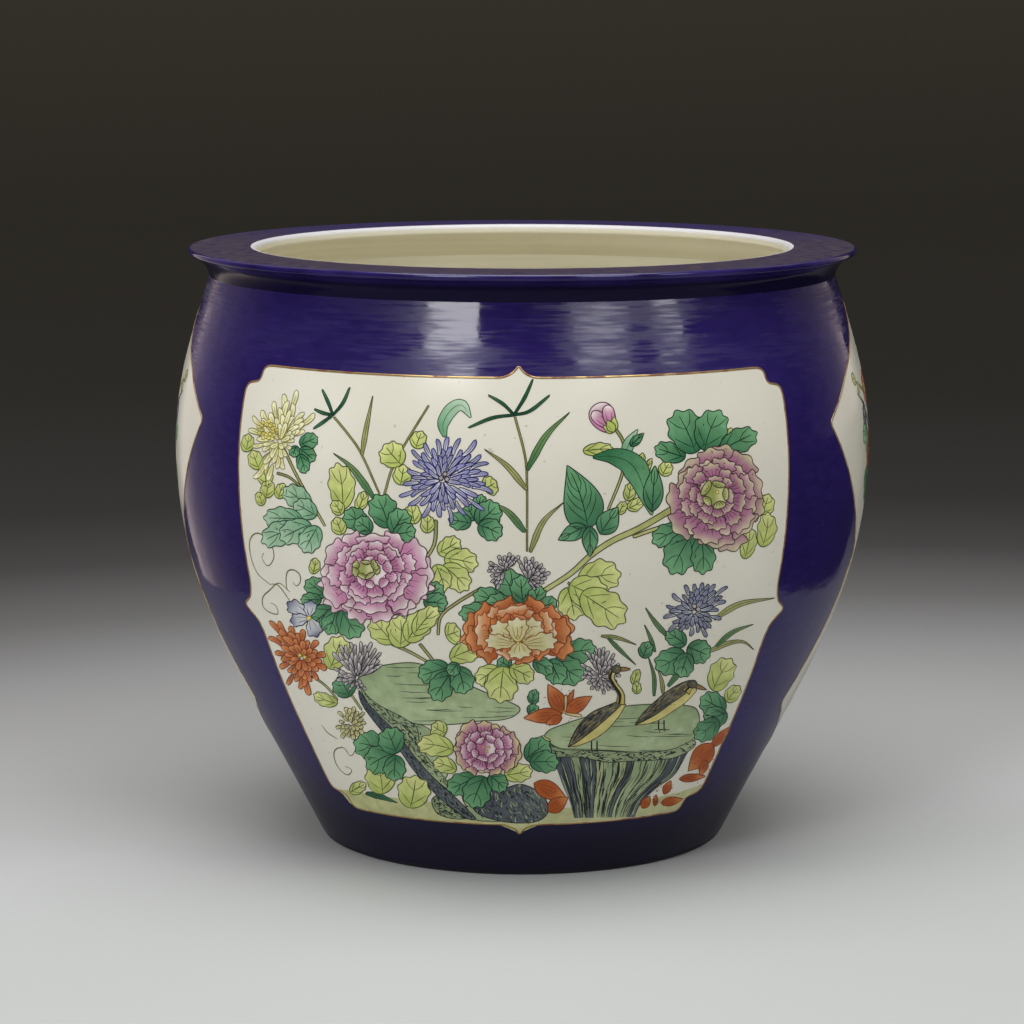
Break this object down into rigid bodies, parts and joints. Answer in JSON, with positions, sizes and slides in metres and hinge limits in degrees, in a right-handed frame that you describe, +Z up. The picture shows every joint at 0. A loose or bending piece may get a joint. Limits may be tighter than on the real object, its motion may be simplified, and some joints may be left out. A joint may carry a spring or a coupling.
{
  "type": "fish bowl jardiniere",
  "caption": "Large round Chinese porcelain fish bowl with a flat overhanging rim, cobalt blue ground and four painted reserves with gilt edges.",
  "frame": {"origin": "on the floor under the bowl's own axis, at the level of the unglazed foot ring", "axes": "+Z up along the bowl's axis, the front reserve faces -Y, the side reserves face +X and -X"},
  "size_m": [0.4586, 0.4586, 0.3922],
  "materials": {
    "biscuit": "unglazed porcelain, fine and matt, buff where the foot is bare",
    "slip": "fired slip in the joints between the thrown sections",
    "clear_glaze": "greyish cream glaze with faint throwing rings",
    "cobalt_glaze": "deep cobalt blue glaze, glossy, with soft brush marks, worn and greyer on the rim's top",
    "reserve_glaze": "greyish white glaze that carries the painted flowers",
    "gilding": "thin line of worn gilding over iron red"
  },
  "bodies": {
    "root": {"foot_and_floor": "biscuit", "floor_lute": "slip", "lower_wall": "biscuit", "belly_lute": "slip", "upper_wall": "biscuit", "neck_lute": "slip", "rim_flange": "biscuit", "inner_glaze": "clear_glaze", "blue_rim_glaze": "cobalt_glaze", "blue_body_glaze": "cobalt_glaze", "front_reserve_glaze": "reserve_glaze", "right_reserve_glaze": "reserve_glaze", "back_reserve_glaze": "reserve_glaze", "left_reserve_glaze": "reserve_glaze", "front_gilt_line": "gilding", "right_gilt_line": "gilding", "back_gilt_line": "gilding", "left_gilt_line": "gilding"}
  },
  "joints": []
}
